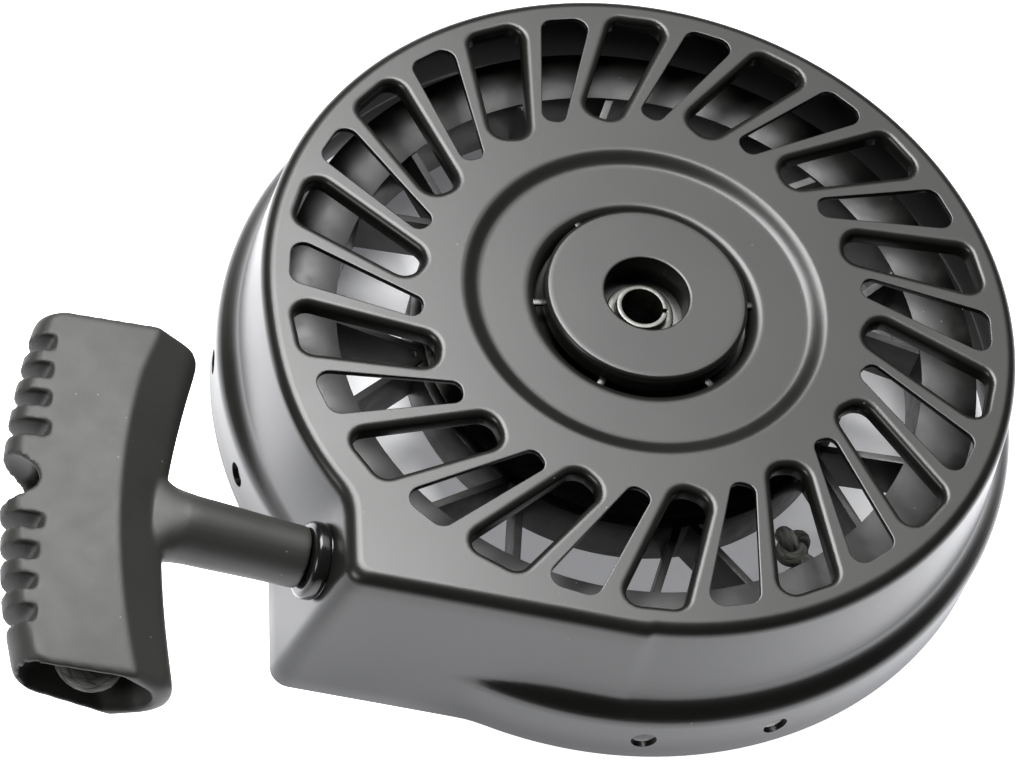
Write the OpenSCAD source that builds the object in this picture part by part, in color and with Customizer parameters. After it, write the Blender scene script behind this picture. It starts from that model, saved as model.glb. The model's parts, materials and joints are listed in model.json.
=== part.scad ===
// Recoil starter for a small engine: a pressed cover with a swirled grille, a rope pulley with its
// rewind spring, two engagement dogs, and a pull rope that ends in a T-handle.
// +Z is up, the origin is on the pulley's axis in the plane of the skirt's lower edge, and the
// rope is pulled towards -X.

/* [Cover] */
// Outside diameter of the skirt that fits over the engine's blower housing
skirt_d = 197; // [195:0.5:199]
// Height from the skirt's lower edge to the face
cover_h = 45.6; // [45:0.1:47]
// Outside diameter of the dome just under the face
face_d = 182.8; // [182:0.1:184]
// Thickness of the sheet steel
sheet_t = 1.5; // [1.2:0.1:1.6]
// Height of the straight skirt below the step
skirt_h = 15.5; // [14:0.1:16]
// Diameter of the rivet holes in the skirt
rivet_hole_d = 6; // [4:0.1:8]

/* [Grille] */
// Number of slots in the face
slot_count = 28; // [28]
// Radius of the circle that the slots' outer ends follow
slot_outer_r = 84.9; // [83:0.1:86]
// Radius of the slots' inner ends
slot_inner_r = 54.4; // [52:0.1:58]
// How far each slot's inner end is turned ahead of its outer end, in degrees
slot_swirl = 11.1; // [8:0.1:13]
// Width of a plain slot at its outer end
plain_slot_w = 12.4; // [10:0.1:13]
// Width of a rolled slot at its outer end
rolled_slot_w = 14; // [12:0.1:14.5]
// Depth of the rolled lip under a rolled slot
lip_depth = 3; // [1:0.1:4]

/* [Pulley] */
// Diameter of the pulley's two flanges
flange_d = 171; // [168:0.5:172]
// Diameter at the bottom of the rope groove
groove_d = 152; // [150:0.5:153]
// Inside diameter of the rim
rim_bore_d = 143.6; // [142:0.1:145]
// Inside diameter of the spring cup
cup_bore_d = 102.8; // [100:0.1:104]
// Height of the pulley's lower flange above the skirt's edge
pulley_base_z = 15; // [15:0.1:15.5]
// Width of the pulley over both flanges
pulley_w = 15; // [14.8:0.1:15]
// Number of V-shaped rib pairs between the spring cup and the rim
rib_pairs = 8; // [6:1:10]

/* [Rope] */
// Diameter of the braided rope
rope_d = 4.5; // [4:0.1:4.6]

/* [Handle] */
// Length of the grip bar
bar_length = 91; // [85:1:100]
// Distance from the wall to the bar's far edge, along the pull
handle_reach = 74.8; // [70:0.1:80]
// Diameter of the stem where it meets the eyelet
stem_d = 13; // [12:0.1:14]
// Direction of the pull about Z, in degrees
pull_yaw = 184; // [180:1:186]
// Rise of the pull above the horizontal, in degrees
pull_rise = 12.9; // [8:0.1:15]

/* [Dogs] */
// Radius from the axis to each dog's pivot
dog_pivot_r = 22; // [22:0.1:22.5]
// How far a dog swings out, in degrees
dog_swing = 28; // [20:1:30]
// How far the cam plate turns to swing the dogs out, in degrees
cam_turn = 24; // [20:1:26]

/* [Hidden] */
$fn = 96;

skirt_r = skirt_d / 2;
face_r = face_d / 2;
edge_r = 3;                          // radius of the face's rounded edge
wall_top_z = cover_h - edge_r;       // where the rounded edge starts
step_h = 3.5;                        // height of the step between skirt and dome
dome_base_r = 94;                    // dome radius just above the step
first_rivets = 18.4;                 // angle of the middle of the first pair of rivet holes
rivet_turn = 9.4;                    // angle from the middle of a pair to each hole
rivets_half = 20;                    // half the stretch of skirt that carries a pair
hub_step_r = 41;                     // middle of the ring step round the hub
hub_drop = 1.8;                      // how far the hub area is recessed
pocket_r = 26.2;                     // radius of the pocket under the hub cap
pocket_floor_z = 38.6;
pitch = 360 / slot_count;
first_slot = 185.65;                 // angle of slot 0's outer end
slot_corner_r = 3;

// spout: the square corner that the rope leaves by, given at the face and at the skirt's edge
spout_corner = [[-59.6, -91.5], [-71.2, -95.5]];
spout_blend = [[-76, -57.5], [-81.5, -55.3]];    // where the left wall has joined the dome
spout_back_y = -69.6;                // where the left wall starts to bend towards the dome
spout_right = 6;
spout_corner_r = 4.5;
wall_turn = 0.155;                   // how much the left wall runs towards -X for each mm of +Y
wall_slope = [spout_corner[0][0], spout_corner[0][1], cover_h] - [spout_corner[1][0], spout_corner[1][1], 0];
wall_normal = unit(cross(wall_slope, [-wall_turn, 1, 0]));

function wall_x(level, y) = spout_corner[level][0] - wall_turn * (y - spout_corner[level][1]);

cap_r = 23;
cap_hole_r = 10.3;
cap_top_z = cover_h + 1.5;
tab_count = 6;
first_tab = 12;

pin_r = 6.2;
pin_bore_r = 5;
pin_z = [1, 41.6];
post_bore_r = 6.25;
post_journal_r = 9;
post_shoulder_r = 12;
journal_z = [10.4, 18.6];
journal_gap = 0.05;                  // running clearance, on the radius

flange_r = flange_d / 2;
groove_r = groove_d / 2;
rim_bore_r = rim_bore_d / 2;
cup_bore_r = cup_bore_d / 2;
cup_wall_t = 2.5;
pulley_top_z = pulley_base_z + pulley_w;
flange_t = 2.5;
web_t = 2.4;
rib_t = 1.8;
rib_apex = 18.5;                     // angle of the first V's point, at the spring cup
rib_lean = 11.5;                     // how far each rib's outer end is turned from the point
knot_angle = -48;
knot_r = 65;
knot_ball_r = 4.2;

rope_r = rope_d / 2;
coil_r = groove_r + rope_r + 0.05;
coil_pitch = 4.8;
coil_z = pulley_base_z + pulley_w / 2;

eyelet_y = -79;
eyelet_z = 29.5;
eyelet_drop = (cover_h - eyelet_z) * wall_normal[2] / wall_normal[0];
eyelet_at = [wall_x(0, eyelet_y) + eyelet_drop, eyelet_y, eyelet_z] + 0.08 * wall_normal;
eyelet_hole_r = 3;
eyelet_lip_r = 9;
eyelet_lip_h = 3.6;

dog_z = [6, 10.2];
peg_r = 3;
cam_peg_r = 1.5;
cam_peg_at = [-1, -9.5];             // the dog's cam peg, from its pivot
plate_r = 31;
plate_z = [3.2, 4.8];

// ---------- shared functions and shapes ----------

function polar(r, a) = [r * cos(a), r * sin(a)];
function unit(v) = v / norm(v);
function cross_z(u, v) = u[0] * v[1] - u[1] * v[0];
function turned(p, a) = [p[0] * cos(a) - p[1] * sin(a), p[0] * sin(a) + p[1] * cos(a)];

// the arc that rounds corner b of the path a, b, c
function corner_arc(a, b, c, r, n) =
    let (u = unit(a - b), v = unit(c - b))
    let (half = acos(u * v) / 2, middle = b + unit(u + v) * r / sin(half))
    let (start = b + u * r / tan(half) - middle, side = sign(cross_z(u, v)))
    [for (i = [0:n]) middle + turned(start, -side * (180 - 2 * half) * i / n)];

// a closed outline with each corner rounded to its own radius
function rounded(points, radii, n = 5) =
    let (count = len(points))
    [for (i = [0:count - 1])
        each corner_arc(points[(i + count - 1) % count], points[i], points[(i + 1) % count], radii[i], n)];

// the point where a line from p along unit vector u leaves the circle of radius r
function on_circle(p, u, r) =
    let (b = p * u)
    p + u * (sqrt(b * b - p * p + r * r) - b);

module ring(r_out, r_in, h) {
    difference() {
        cylinder(r = r_out, h = h);
        translate([0, 0, -1]) cylinder(r = r_in, h = h + 2);
    }
}

// a band of the given half width along a flat path
module strip(path, half) {
    last = len(path) - 1;
    normals = [for (i = [0:last])
        let (u = unit(path[min(i + 1, last)] - path[max(i - 1, 0)])) [-u[1], u[0]]];
    polygon(concat(
        [for (i = [0:last]) path[i] + half * normals[i]],
        [for (i = [last:-1:0]) path[i] - half * normals[i]]
    ));
}

// a round wire of radius r along a path that never runs along Z
module sweep(path, r, sides = 8) {
    last = len(path) - 1;
    function along(i) = unit(path[min(i + 1, last)] - path[max(i - 1, 0)]);
    function side(i) = unit(cross(along(i), [0, 0, 1]));
    function up(i) = cross(side(i), along(i));
    points = [for (i = [0:last]) for (j = [0:sides - 1])
        path[i] + r * (cos(360 * j / sides) * side(i) + sin(360 * j / sides) * up(i))];
    skin = [for (i = [0:last - 1]) for (j = [0:sides - 1])
        let (k = (j + 1) % sides)
        [i * sides + j, i * sides + k, (i + 1) * sides + k, (i + 1) * sides + j]];
    near_end = [for (j = [sides - 1:-1:0]) j];
    far_end = [for (j = [0:sides - 1]) last * sides + j];
    polyhedron(points, concat([near_end], skin, [far_end]), convexity = 6);
}

// the handle's frame: X along the pull, Y towards the open near end of the bar
module along_pull() {
    translate(eyelet_at) rotate([0, -pull_rise, pull_yaw]) children();
}

// the eyelet's frame: X out of the spout's left wall
module out_of_wall() {
    lean = asin(wall_normal[2]);
    yaw = atan2(wall_normal[1], wall_normal[0]);
    translate(eyelet_at) rotate([0, 90 - lean, yaw]) children();
}

// ---------- cover ----------

function slot_outline(k, w_outer, w_inner, grow) =
    let (out_mid = polar(slot_outer_r, first_slot - pitch * k))
    let (in_mid = polar(slot_inner_r, first_slot + slot_swirl - pitch * k))
    let (u = unit(out_mid - in_mid), v = [-u[1], u[0]])
    let (wi = w_inner / 2 + grow, wo = w_outer / 2 + grow, start = in_mid - u * grow)
    let (a = start + v * wi, b = start - v * wi)
    let (side_a = unit(out_mid + v * wo - a), side_b = unit(out_mid - v * wo - b))
    rounded(
        [a, b, on_circle(b, side_b, slot_outer_r + grow), on_circle(a, side_a, slot_outer_r + grow)],
        [wi * 0.9, wi * 0.9, slot_corner_r + grow, slot_corner_r + grow]
    );

module slot_shape(k, grow = 0) {
    rolled = k % 2 == 1;
    polygon(slot_outline(k, rolled ? rolled_slot_w : plain_slot_w, rolled ? 8.5 : 5.5, grow));
}

module spout_footprint(level, inset) {
    front = spout_corner[level][1] + inset;
    polygon(rounded(
        [[spout_right, front], [wall_x(level, front) + inset, front],
         [wall_x(level, spout_back_y) + inset, spout_back_y], [-50, -50], [spout_right, -50]],
        [1, spout_corner_r, 2, 1, 1]
    ));
}

module blend_footprint(level, inset) {
    lap_y = spout_back_y - 0.3;
    corner = spout_blend[level] + [inset, -inset];
    polygon([[wall_x(level, lap_y) + inset, lap_y], corner, [-50, -50]]);
}

// the spout as a solid from z = 0 up to top_z, drafted between its two levels
module spout_solid(inset, top_z) {
    skin = 0.1;
    slope_top = [0, 0, top_z - skin];
    hull() {
        linear_extrude(skin) spout_footprint(1, inset);
        translate(slope_top) linear_extrude(skin) spout_footprint(0, inset);
    }
    hull() {
        linear_extrude(skin) blend_footprint(1, inset);
        translate(slope_top) linear_extrude(skin) blend_footprint(0, inset);
    }
}

// the cover's round inside, below the rounded edge of the face
module dome_inside() {
    rotate_extrude() polygon([
        [0, -1], [skirt_r - sheet_t, -1], [skirt_r - sheet_t, skirt_h],
        [dome_base_r - sheet_t, skirt_h + step_h], [face_r - sheet_t, wall_top_z + 0.01],
        [0, wall_top_z + 0.01]
    ]);
}

module face_section() {
    step_half = 1.5;
    recess_z = cover_h - hub_drop;
    outer = [for (a = [90:-15:0]) [face_r - edge_r, wall_top_z] + polar(edge_r, a)];
    inner = [for (a = [0:15:90]) [face_r - edge_r, wall_top_z] + polar(edge_r - sheet_t, a)];
    roll = [for (a = [180:-30:90]) [pocket_r + 2.5, recess_z - 2.5] + polar(2.5, a)];
    under = [for (a = [90:30:180]) [pocket_r + 2.5, recess_z - 2.5] + polar(1, a)];
    polygon(concat(
        [[8.05, pocket_floor_z - sheet_t], [8.05, pocket_floor_z], [pocket_r, pocket_floor_z]],
        roll,
        [[hub_step_r - step_half, recess_z], [hub_step_r + step_half, cover_h]],
        outer,
        inner,
        [[hub_step_r + step_half, cover_h - sheet_t], [hub_step_r - step_half, recess_z - sheet_t]],
        under,
        [[pocket_r + sheet_t, pocket_floor_z - sheet_t]]
    ));
}

module cover_face() {
    color("dimgray") difference() {
        union() {
            rotate_extrude() face_section();
            difference() {
                spout_solid(0, cover_h);
                spout_solid(sheet_t, cover_h - sheet_t);
                translate([-150, -150, -1]) cube([300, 300, wall_top_z + 1]);
                cylinder(r = face_r - edge_r, h = cover_h + 1);
            }
            for (k = [1:2:slot_count - 1])
                translate([0, 0, cover_h - sheet_t - lip_depth])
                    linear_extrude(lip_depth + 0.5) slot_shape(k, 1.1);
        }
        for (k = [0:slot_count - 1])
            translate([0, 0, wall_top_z - 5]) linear_extrude(10) slot_shape(k);
    }
}

module cover_wall() {
    color("dimgray") difference() {
        union() {
            rotate_extrude() polygon([
                [80, skirt_h], [skirt_r, skirt_h], [dome_base_r, skirt_h + step_h],
                [face_r, wall_top_z], [80, wall_top_z]
            ]);
            intersection() {
                spout_solid(0, cover_h);
                translate([-150, -150, 0]) cube([300, 300, wall_top_z]);
            }
        }
        dome_inside();
        spout_solid(sheet_t, cover_h - sheet_t);
        translate([0, 0, -1]) linear_extrude(2) spout_footprint(1, sheet_t);
        out_of_wall() translate([0, 0, -6]) cylinder(r = 6.1, h = 12);
    }
}

// one stretch of the round skirt, from half_angle before to half_angle after its middle
module skirt_arc(half_angle) {
    reach = 1.2 * skirt_r / cos(half_angle);
    intersection() {
        ring(skirt_r, skirt_r - sheet_t, skirt_h);
        translate([0, 0, -1]) linear_extrude(skirt_h + 2)
            polygon([[0, 0], polar(reach, -half_angle), polar(reach, half_angle)]);
    }
}

// the room that the spout takes out of the skirt
module spout_gap() {
    play = -0.02;
    spout_solid(play, cover_h);
    translate([0, 0, -1]) linear_extrude(2) spout_footprint(1, play);
}

// a stretch of the skirt with its two rivet holes; the spout cuts into the third one
module skirt_rivets(pair) {
    rivet_z = 8;
    color("dimgray") rotate([0, 0, first_rivets + 90 * pair]) difference() {
        skirt_arc(rivets_half);
        for (side = [-1, 1])
            rotate([0, 0, rivet_turn * side])
                translate([skirt_r - 5, 0, rivet_z])
                    rotate([0, 90, 0]) cylinder(d = rivet_hole_d, h = 10);
        if (pair == 2)
            rotate([0, 0, -first_rivets - 90 * pair]) spout_gap();
    }
}

// a stretch of the skirt between two pairs of rivet holes; the spout cuts the third one short
module skirt_plain(gap) {
    color("dimgray") difference() {
        rotate([0, 0, first_rivets + 45 + 90 * gap]) skirt_arc(45 - rivets_half);
        if (gap == 2) spout_gap();
    }
}

module hub_cap() {
    edge = [for (a = [90:-15:0]) [cap_r - 1.6, cap_top_z - 1.6] + polar(1.6, a)];
    color("gray") union() {
        rotate_extrude() polygon(concat(
            [[cap_hole_r, pocket_floor_z], [cap_hole_r, cap_top_z]],
            edge,
            [[cap_r, 42], [cap_r - sheet_t, 42], [cap_r - sheet_t, cap_top_z - sheet_t],
             [cap_hole_r + sheet_t, cap_top_z - sheet_t], [cap_hole_r + sheet_t, pocket_floor_z]]
        ));
        for (i = [0:tab_count - 1])
            rotate([0, 0, first_tab + 60 * i])
                translate([cap_r - 1, -1.3, 42]) cube([pocket_r - cap_r + 0.9, 2.6, 1.4]);
    }
}

// ---------- fixed centre ----------

module centre_post() {
    color("silver") difference() {
        union() {
            translate([0, 0, journal_z[0]])
                cylinder(r = post_journal_r, h = journal_z[1] - journal_z[0] + 0.1);
            translate([0, 0, journal_z[1]]) cylinder(r = post_shoulder_r, h = 17);
            translate([0, 0, 35.5]) cylinder(r = 14, h = 1.6);
            translate([0, 0, 37]) cylinder(r = 8, h = 2.4);
        }
        cylinder(r = post_bore_r, h = 50);
        translate([-13, -1.2, journal_z[1] - 0.1]) cube([3.2, 2.4, 10]);
    }
}

module centre_pin() {
    head_r = 10;
    head_h = 1.6;
    color("lightgray") difference() {
        union() {
            translate([0, 0, pin_z[0]]) cylinder(r = pin_r, h = pin_z[1] - pin_z[0]);
            translate([0, 0, pin_z[0]]) cylinder(r = head_r, h = head_h);
        }
        cylinder(r = pin_bore_r, h = 50);
        translate([4, -0.5, pin_z[0] + head_h + 0.5]) cube([3, 1, 50]);
    }
}

module post_washer() {
    color("silver") translate([0, 0, 17.7]) ring(post_shoulder_r, post_journal_r + 0.1, 0.7);
}

module brake_washer() {
    color("silver") translate([0, 0, 5.0]) ring(10, pin_r + 0.1, 0.7);
}

function helix(r, z0, rise, turns, steps) =
    [for (i = [0:turns * steps]) concat(polar(r, 360 * i / steps), z0 + rise * i / steps)];

module brake_spring() {
    color("silver") sweep(helix(7.9, 6.5, 1.3, 2.5, 14), 0.55, 6);
}

// ---------- rope and eyelet ----------

module rope_eyelet() {
    lip = [for (a = [-90:30:90]) [eyelet_lip_r - 1.8, 1.8] + polar(1.8, a)];
    color("black") out_of_wall() rotate_extrude() polygon(concat(
        [[eyelet_hole_r, -3.2], [8, -3.2], [8, -1.95], [6, -1.95], [6, 0]],
        lip,
        [[eyelet_hole_r + 1.2, eyelet_lip_h], [eyelet_hole_r, eyelet_lip_h - 1.2]]
    ));
}

// the rope from the pulley to the eyelet; it starts where it is clear of the coil
module rope_run() {
    run_z = coil_z + coil_pitch / 2 + 0.1;
    start = [-38, -78.6, run_z];
    finish = eyelet_at - 3 * pull_direction();
    color("darkolivegreen") sweep([start, start + [-3, 0, 0.3], finish], rope_r, 10);
}

function pull_direction() =
    [cos(pull_rise) * cos(pull_yaw), cos(pull_rise) * sin(pull_yaw), sin(pull_rise)];

module rope_lead() {
    color("darkolivegreen") along_pull()
        translate([-2.5, 0, 0]) rotate([0, 90, 0]) cylinder(r = rope_r, h = 14.5);
}

module rope_coil() {
    color("darkolivegreen") union() {
        for (turn = [-0.5, 0.5])
            translate([0, 0, coil_z + turn * coil_pitch])
                rotate_extrude() translate([coil_r, 0]) circle(r = rope_r, $fn = 24);
        rotate([0, 0, knot_angle])
            translate([knot_r + knot_ball_r, 0, coil_z + coil_pitch / 2])
                rotate([0, 90, 0]) cylinder(r = rope_r - 0.1, h = coil_r - knot_r - knot_ball_r);
    }
}

module pulley_rope_knot() {
    color("darkolivegreen") rotate([0, 0, knot_angle])
        translate([knot_r, 0, coil_z + coil_pitch / 2]) sphere(r = knot_ball_r);
}

// ---------- pulley and rewind spring ----------

module pulley_rim_section() {
    low = pulley_base_z;
    top = pulley_top_z;
    polygon([
        [rim_bore_r, low], [flange_r, low], [flange_r, low + flange_t * 0.7], [groove_r, low + flange_t],
        [groove_r, top - flange_t], [flange_r, top - flange_t * 0.7], [flange_r, top], [rim_bore_r, top]
    ]);
}

module pulley() {
    cup_r = cup_bore_r + cup_wall_t;
    rib_in = cup_r - 1;
    color("darkslategray") difference() {
        union() {
            rotate_extrude() pulley_rim_section();
            translate([0, 0, pulley_base_z]) ring(cup_r, cup_bore_r, pulley_w - 1);
            translate([0, 0, pulley_base_z]) ring(cup_r - 0.5, post_journal_r + journal_gap, web_t);
            translate([0, 0, 11]) ring(13.5, post_journal_r + journal_gap, 4.1);
            for (i = [0:rib_pairs - 1])
                for (side = [-1, 1])
                    pulley_rib(rib_apex + 360 / rib_pairs * i, side, rib_in);
            for (a = [0, 180])
                rotate([0, 0, a]) translate([dog_pivot_r, 0, 5.8]) cylinder(r = peg_r, h = 9.4);
            rotate([0, 0, knot_angle])
                translate([rim_bore_r - 4, -5, pulley_base_z]) cube([5, 10, 5]);
        }
        rotate([0, 0, knot_angle])
            translate([knot_r, 0, coil_z + coil_pitch / 2])
                rotate([0, 90, 0]) cylinder(r = rope_r + 0.4, h = 20);
        translate([cup_bore_r - 3, -1, 18]) cube([8, 2, 20]);
    }
}

// one leg of a V: from the spring cup out to the rim, leaning to one side
module pulley_rib(apex, side, r_in) {
    inner = polar(r_in, apex + 1.5 * side);
    outer = polar(rim_bore_r + 1, apex + (rib_lean - 2) * side);
    along = outer - inner;
    translate([inner[0], inner[1], pulley_base_z + 1])
        rotate([0, 0, atan2(along[1], along[0])])
            translate([0, -rib_t / 2, 0]) cube([norm(along), rib_t, pulley_w - 1.6]);
}

module spring_keeper() {
    color("silver") translate([0, 0, 27.8]) ring(cup_bore_r - 0.2, post_shoulder_r + 0.6, 1);
}

// a flat spiral from the notch in the post to the slot in the cup, hooked at both ends
module rewind_spring() {
    strip_t = 0.9;
    turns = 7.5;
    steps = 20 * turns;
    r0 = 14.2;
    r1 = cup_bore_r - 0.8;
    spiral = [for (i = [0:steps]) polar(r0 + (r1 - r0) * i / steps, 180 + 360 * turns * i / steps)];
    path = concat([[-10.2, 0], [-r0 + 1, 0]], spiral, [[r1 + 2.5, 0.2]]);
    color("steelblue") translate([0, 0, 18.5]) linear_extrude(9) strip(path, strip_t / 2);
}

// ---------- dogs and cam plate ----------

module dog_body() {
    thick = dog_z[1] - dog_z[0];
    arm = rounded(
        [[-5.2, 1], [5.2, 1], [3.4, -12], [0.5, -18.5], [-5.5, -16.5], [-6, -8]],
        [2, 2, 4, 0.8, 0.8, 4]
    );
    difference() {
        union() {
            cylinder(r = 5.5, h = thick);
            linear_extrude(thick) polygon(arm);
            translate([cam_peg_at[0], cam_peg_at[1], plate_z[0] - dog_z[0]])
                cylinder(r = cam_peg_r, h = 4);
        }
        translate([0, 0, -1]) cylinder(r = peg_r + journal_gap, h = thick + 2);
    }
}

module dog(side) {
    color("silver") rotate([0, 0, side]) translate([dog_pivot_r, 0, dog_z[0]]) dog_body();
}

// where the cam peg is, seen from the cam plate, when the dog has swung the fraction t of its way
function cam_point(t) = turned([dog_pivot_r, 0] + turned(cam_peg_at, dog_swing * t), -cam_turn * t);

module cam_slot() {
    half = cam_peg_r + 0.25;
    steps = 8;
    path = [for (i = [0:steps]) cam_point(i / steps)];
    strip(path, half);
    for (i = [0, steps])
        translate(path[i]) circle(r = half, $fn = 32);
}

module retainer() {
    color("gainsboro") translate([0, 0, plate_z[0]]) difference() {
        cylinder(r = plate_r, h = plate_z[1] - plate_z[0]);
        translate([0, 0, -1]) cylinder(r = pin_r + journal_gap, h = 4);
        for (a = [0, 180])
            rotate([0, 0, a]) translate([0, 0, -1]) linear_extrude(4) cam_slot();
    }
}

// a hairpin spring round the dog's pivot
module dog_spring(side) {
    coil = helix(3.9, 11.1, 1.15, 2.5, 12);
    foot = coil[0];
    top = coil[len(coil) - 1];
    path = concat([foot - [-0.1, 9, 0], foot - [-0.05, 3, 0]], coil, [top + [0.1, 3, 0], top + [0.1, 9, 0]]);
    color("silver") rotate([0, 0, side]) translate([dog_pivot_r, 0, 0]) sweep(path, 0.4, 6);
}

// ---------- handle ----------

// the bar's wedge section, in the plane of the stem's axis and the vertical
module bar_section(inset) {
    crease = [46, 9.8];
    back = [handle_reach - 5.2, 5.2];
    nose = [for (a = [90:15:270]) [crease[0], 0] + [12 * cos(a), crease[1] * sin(a)]];
    tail = [for (a = [-90:20:90]) [back[0], 0] + polar(back[1], a)];
    if (inset == 0)
        polygon(concat(nose, tail));
    else
        polygon([for (p = concat(nose, tail)) [57, 0] + [(p[0] - 57) * 0.78, p[1] * 0.68]]);
}

module bar_plan() {
    half = bar_length / 2;
    bulge = 4.2;
    arc_r = (half * half + bulge * bulge) / (2 * bulge);
    sweep_a = asin(half / arc_r);
    back = [for (i = [-6:6]) [handle_reach - arc_r, 0] + polar(arc_r, sweep_a * i / 6)];
    polygon(concat([[33, -half + 5], [38, -half]], back, [[38, half], [33, half - 5]]));
}

module handle() {
    notches = [11.8, 19.5, 27.2, 34.8];
    color("dimgray") along_pull() difference() {
        union() {
            intersection() {
                rotate([90, 0, 0]) linear_extrude(bar_length, center = true) bar_section(0);
                translate([0, 0, -15]) linear_extrude(30) bar_plan();
            }
            translate([eyelet_lip_h + 1.2, 0, 0]) rotate([0, 90, 0])
                cylinder(r1 = stem_d / 2, r2 = stem_d / 2 + 0.8, h = 36);
        }
        rotate([90, 0, 0]) linear_extrude(bar_length + 2, center = true) bar_section(1);
        rotate([0, 90, 0]) cylinder(r = rope_r + 0.3, h = 60);
        translate([60, 0, 0]) rotate([0, 90, 0]) cylinder(r = 4, h = 20);
        for (y = notches)
            for (side = [-1, 1])
                translate([handle_reach - 1.5, y * side, -12]) cylinder(r = 2, h = 24, $fn = 24);
    }
}

// the rope inside the handle, with the stopper knot and the loose end behind it
module handle_rope_end() {
    loop = [for (a = [-90:15:80]) [57 + 7 * cos(a), 12 + 14 * sin(a), 2 * cos(a) - 1]];
    color("darkolivegreen") along_pull() {
        translate([12, 0, 0]) rotate([0, 90, 0]) cylinder(r = rope_r, h = 38);
        translate([53, 0, 0]) sphere(r = 5.4);
        sweep(concat([[54, -2.5, -0.5]], loop), rope_r, 8);
    }
}

cover_face();
cover_wall();
skirt_rivets(0);  // skirt_rivets_1
skirt_rivets(1);  // skirt_rivets_2
skirt_rivets(2);  // skirt_rivets_3
skirt_rivets(3);  // skirt_rivets_4
skirt_plain(0);  // skirt_plain_1
skirt_plain(1);  // skirt_plain_2
skirt_plain(2);  // skirt_plain_3
skirt_plain(3);  // skirt_plain_4
hub_cap();
centre_post();
centre_pin();
post_washer();
rope_eyelet();
rope_run();
pulley();
spring_keeper();
rewind_spring();
rope_coil();
pulley_rope_knot();
dog_spring(0);  // dog_spring_1
dog_spring(180);  // dog_spring_2
dog(0);  // dog_1
dog(180);  // dog_2
retainer();
brake_washer();
brake_spring();
handle();
rope_lead();
handle_rope_end();
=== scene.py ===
# %% [markdown]
# # A recoil starter, piece by piece
# A recoil starter is the pull-start of a small engine: a pressed steel cover, a rope pulley on a
# rewind spring inside it, and a T-handle on a braided rope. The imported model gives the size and
# place of every part and how they move. Here each part gets its real look on top of that.

import json
import math

import bmesh
import bpy
from mathutils import Matrix, Vector

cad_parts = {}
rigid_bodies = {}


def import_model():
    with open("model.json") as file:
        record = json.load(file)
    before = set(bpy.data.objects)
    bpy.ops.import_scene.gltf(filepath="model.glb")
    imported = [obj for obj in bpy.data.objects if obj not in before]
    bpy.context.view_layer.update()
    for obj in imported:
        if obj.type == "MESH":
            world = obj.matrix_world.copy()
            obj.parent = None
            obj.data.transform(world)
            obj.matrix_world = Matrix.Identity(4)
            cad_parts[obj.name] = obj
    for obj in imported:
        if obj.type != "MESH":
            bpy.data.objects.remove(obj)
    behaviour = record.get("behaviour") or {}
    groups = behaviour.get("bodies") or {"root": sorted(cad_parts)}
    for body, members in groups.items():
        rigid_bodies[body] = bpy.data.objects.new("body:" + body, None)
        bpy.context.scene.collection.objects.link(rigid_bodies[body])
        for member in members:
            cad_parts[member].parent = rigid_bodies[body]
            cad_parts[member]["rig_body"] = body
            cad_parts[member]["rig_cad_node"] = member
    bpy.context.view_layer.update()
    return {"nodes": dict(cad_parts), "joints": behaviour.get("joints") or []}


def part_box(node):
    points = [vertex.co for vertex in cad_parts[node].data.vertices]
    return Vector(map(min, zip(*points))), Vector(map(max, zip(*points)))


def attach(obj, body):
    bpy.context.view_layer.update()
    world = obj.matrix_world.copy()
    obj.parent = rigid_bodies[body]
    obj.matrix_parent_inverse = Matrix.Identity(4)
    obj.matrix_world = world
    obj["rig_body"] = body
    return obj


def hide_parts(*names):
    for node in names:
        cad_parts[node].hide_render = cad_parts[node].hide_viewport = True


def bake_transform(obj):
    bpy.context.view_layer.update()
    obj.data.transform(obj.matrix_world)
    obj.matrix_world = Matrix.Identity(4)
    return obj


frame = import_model()

# %% [markdown]
# ## Helpers
# Blender's operators act on whatever is selected, so every step starts by selecting one piece.
# The helpers below do the small things that come back all the time: pick a piece, choose some of
# its faces or edges in edit mode by where they are, and apply a modifier.

# %% Pick, choose and apply
MM = 0.001


def mm(x, y, z):
    return Vector((x, y, z)) * MM


def pick(piece):
    if bpy.context.object and bpy.context.object.mode != "OBJECT":
        bpy.ops.object.mode_set(mode="OBJECT")
    bpy.ops.object.select_all(action="DESELECT")
    piece.select_set(True)
    bpy.context.view_layer.objects.active = piece


def edit(piece):
    pick(piece)
    bpy.ops.object.mode_set(mode="EDIT")


def done():
    bpy.ops.object.mode_set(mode="OBJECT")


def choose(piece, kind, test):
    """Selects, in edit mode, the vertices, edges or faces that pass the test, and counts them."""
    bpy.ops.mesh.select_mode(type=kind)
    bpy.ops.mesh.select_all(action="DESELECT")
    mesh = bmesh.from_edit_mesh(piece.data)
    parts = {"VERT": mesh.verts, "EDGE": mesh.edges, "FACE": mesh.faces}[kind]
    found = [p for p in parts if test(p)]
    for p in found:
        p.select = True
    mesh.select_flush_mode()
    bmesh.update_edit_mesh(piece.data)
    return len(found)


def apply(piece, kind, **settings):
    pick(piece)
    modifier = piece.modifiers.new(kind.lower(), kind)
    for name, value in settings.items():
        setattr(modifier, name, value)
    bpy.ops.object.modifier_apply(modifier=modifier.name)


def soften(piece, width_mm, angle=35, segments=2, smooth=40):
    """Rounds the sharp edges a little, as every real edge is, and shades the rest smooth."""
    apply(
        piece,
        "BEVEL",
        width=width_mm * MM,
        segments=segments,
        limit_method="ANGLE",
        angle_limit=math.radians(angle),
        use_clamp_overlap=True,
    )
    pick(piece)
    bpy.ops.object.shade_smooth_by_angle(angle=math.radians(smooth))


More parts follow.
